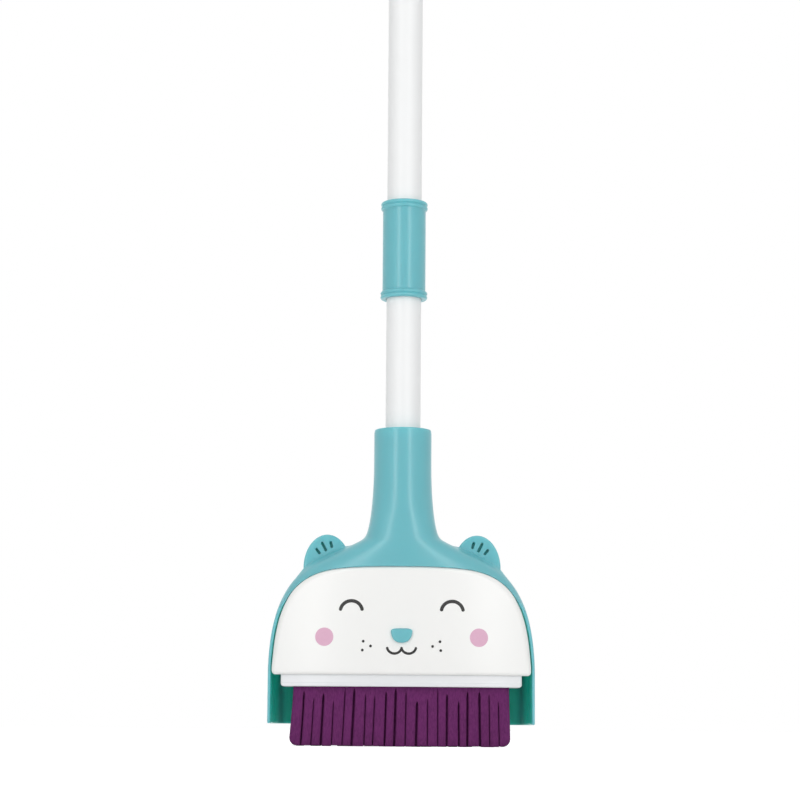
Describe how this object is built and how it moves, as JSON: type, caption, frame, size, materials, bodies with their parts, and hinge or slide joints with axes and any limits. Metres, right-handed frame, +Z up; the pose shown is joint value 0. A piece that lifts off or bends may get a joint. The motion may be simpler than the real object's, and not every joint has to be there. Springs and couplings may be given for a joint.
{
  "type": "toy broom",
  "caption": "Child's broom with a pull-out felt brush, an eared hood whose open back serves as a scoop, and a straight tube handle that splits at a coupling sleeve.",
  "frame": {"origin": "middle of the flat sweeping edge, under the handle's axis", "axes": "+Z up along the handle, -Y out of the face, +X to the right as the face is looked at"},
  "size_m": [0.1666, 0.0553, 0.6205],
  "materials": {
    "teal_plastic": "satin moulded plastic, teal",
    "white_plastic": "satin moulded plastic, white",
    "tube_plastic": "satin extruded plastic, white",
    "purple_felt": "thick cut felt, purple",
    "screw_steel": "bright zinc-plated steel"
  },
  "bodies": {
    "brush": {"face_shell": "white_plastic", "nose": "teal_plastic", "nose_retainer": "screw_steel", "brush_block": "white_plastic", "fringe_layer_1": "purple_felt", "fringe_layer_2": "purple_felt", "fringe_layer_3": "purple_felt", "fringe_layer_4": "purple_felt", "fringe_layer_5": "purple_felt", "rear_cover": "white_plastic", "block_screw_1": "screw_steel", "block_screw_2": "screw_steel", "block_screw_3": "screw_steel", "face_screw_1": "screw_steel", "face_screw_2": "screw_steel"},
    "head": {"hood_shell": "teal_plastic", "lower_tube": "tube_plastic", "neck_screw": "screw_steel", "coupling_sleeve": "teal_plastic", "sleeve_screw": "screw_steel"},
    "upper_handle": {"upper_tube": "tube_plastic", "end_cap": "teal_plastic"}
  },
  "joints": [
    {"name": "hood_lift", "type": "slide", "parent": "brush", "child": "head", "axis": [0, 0, 1], "range_m": [0, 0.1]},
    {"name": "handle_pull", "type": "slide", "parent": "head", "child": "upper_handle", "axis": [0, 0, 1], "range_m": [0, 0.036]}
  ]
}
